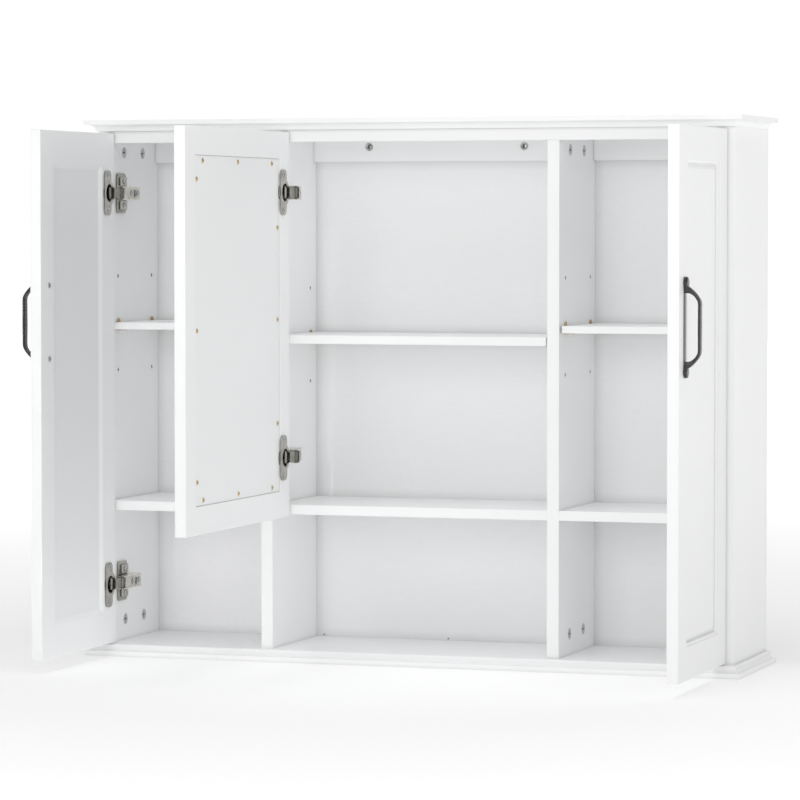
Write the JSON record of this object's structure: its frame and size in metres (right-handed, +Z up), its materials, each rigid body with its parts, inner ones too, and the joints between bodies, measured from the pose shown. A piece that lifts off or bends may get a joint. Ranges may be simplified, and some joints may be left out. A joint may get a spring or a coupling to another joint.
{
  "type": "medicine cabinet",
  "caption": "Wall-hung white medicine cabinet with a moulded crown and base, panelled outer doors, a mirror door in the middle, shelves and an open shelf below.",
  "frame": {"origin": "underside of the base board, half way across, in the plane of the carcass front edges", "axes": "+X to the right seen from the front, +Y towards the wall, +Z up"},
  "size_m": [0.914, 0.5731, 0.728],
  "materials": {
    "white_paint": "satin white paint on board",
    "painted_panel": "satin white paint on thin board",
    "backing_board": "white-faced hardboard",
    "mirror": "silvered float glass",
    "brass": "bright brass plate",
    "nickel": "nickel plate, slightly warm",
    "zinc": "bright zinc plate",
    "dark_steel": "dark steel",
    "handle": "satin oil-rubbed bronze"
  },
  "bodies": {
    "cabinet": {"crown_board": "white_paint", "base_board": "white_paint", "left_side": "white_paint", "right_side": "white_paint", "left_divider": "white_paint", "right_divider": "white_paint", "top_rail": "white_paint", "back_panel": "painted_panel", "left_hanging_rail": "white_paint", "middle_hanging_rail": "white_paint", "right_hanging_rail": "white_paint", "left_fixed_shelf": "white_paint", "middle_fixed_shelf": "white_paint", "right_fixed_shelf": "white_paint", "left_adjustable_shelf": "white_paint", "middle_adjustable_shelf": "white_paint", "right_adjustable_shelf": "white_paint", "shelf_supports": "brass", "cam_locks": "zinc", "cam_bolts": "zinc", "wall_screw_washers": "zinc", "back_panel_pins": "dark_steel", "outer_hinge_arms": "nickel", "mirror_hinge_arms": "nickel", "hinge_arm_pins": "zinc", "arm_adjusting_screws": "zinc", "mounting_plates": "nickel", "mounting_plate_screws": "zinc"},
    "left_door": {"left_door_stiles": "white_paint", "left_door_rails": "white_paint", "left_door_panel": "painted_panel", "left_handle": "handle", "left_handle_screws": "zinc", "left_hinge_cups": "nickel", "left_hinge_cup_pins": "zinc", "left_hinge_cup_screws": "zinc"},
    "left_links": {"left_hinge_links": "nickel"},
    "mirror_door": {"mirror_door_stiles": "white_paint", "mirror_door_rails": "white_paint", "mirror_glass": "mirror", "mirror_backing": "backing_board", "mirror_backing_screws": "brass", "mirror_hinge_cups": "nickel", "mirror_hinge_cup_pins": "zinc", "mirror_hinge_cup_screws": "zinc"},
    "mirror_links": {"mirror_hinge_links": "nickel"},
    "right_door": {"right_door_stiles": "white_paint", "right_door_rails": "white_paint", "right_door_panel": "painted_panel", "right_handle": "handle", "right_handle_screws": "zinc", "right_hinge_cups": "nickel", "right_hinge_cup_pins": "zinc", "right_hinge_cup_screws": "zinc"},
    "right_links": {"right_hinge_links": "nickel"}
  },
  "joints": [
    {"name": "left_hinge_links", "type": "hinge", "parent": "cabinet", "child": "left_links", "pos_m": [-0.4145, 0.008, 0], "axis": [0, 0, 1], "range_deg": [-36, 2]},
    {"name": "left_door_swing", "type": "hinge", "parent": "left_links", "child": "left_door", "pos_m": [-0.42142, -0.0131, 0], "axis": [0, 0, 1], "range_deg": [-7, 126]},
    {"name": "mirror_hinge_links", "type": "hinge", "parent": "cabinet", "child": "mirror_links", "pos_m": [-0.162, 0.008, 0], "axis": [0, 0, 1], "range_deg": [-36, 2]},
    {"name": "mirror_door_swing", "type": "hinge", "parent": "mirror_links", "child": "mirror_door", "pos_m": [-0.16892, -0.0131, 0], "axis": [0, 0, 1], "range_deg": [-7, 126]},
    {"name": "right_hinge_links", "type": "hinge", "parent": "cabinet", "child": "right_links", "pos_m": [0.4145, 0.008, 0], "axis": [0, 0, 1], "range_deg": [-2, 36]},
    {"name": "right_door_swing", "type": "hinge", "parent": "right_links", "child": "right_door", "pos_m": [0.42142, -0.0131, 0], "axis": [0, 0, 1], "range_deg": [-126, 7]}
  ],
  "couplings": [
    {"joint": "left_hinge_links", "follows": "left_door_swing", "ratio": -0.28571},
    {"joint": "mirror_hinge_links", "follows": "mirror_door_swing", "ratio": -0.28571},
    {"joint": "right_hinge_links", "follows": "right_door_swing", "ratio": -0.28571}
  ]
}
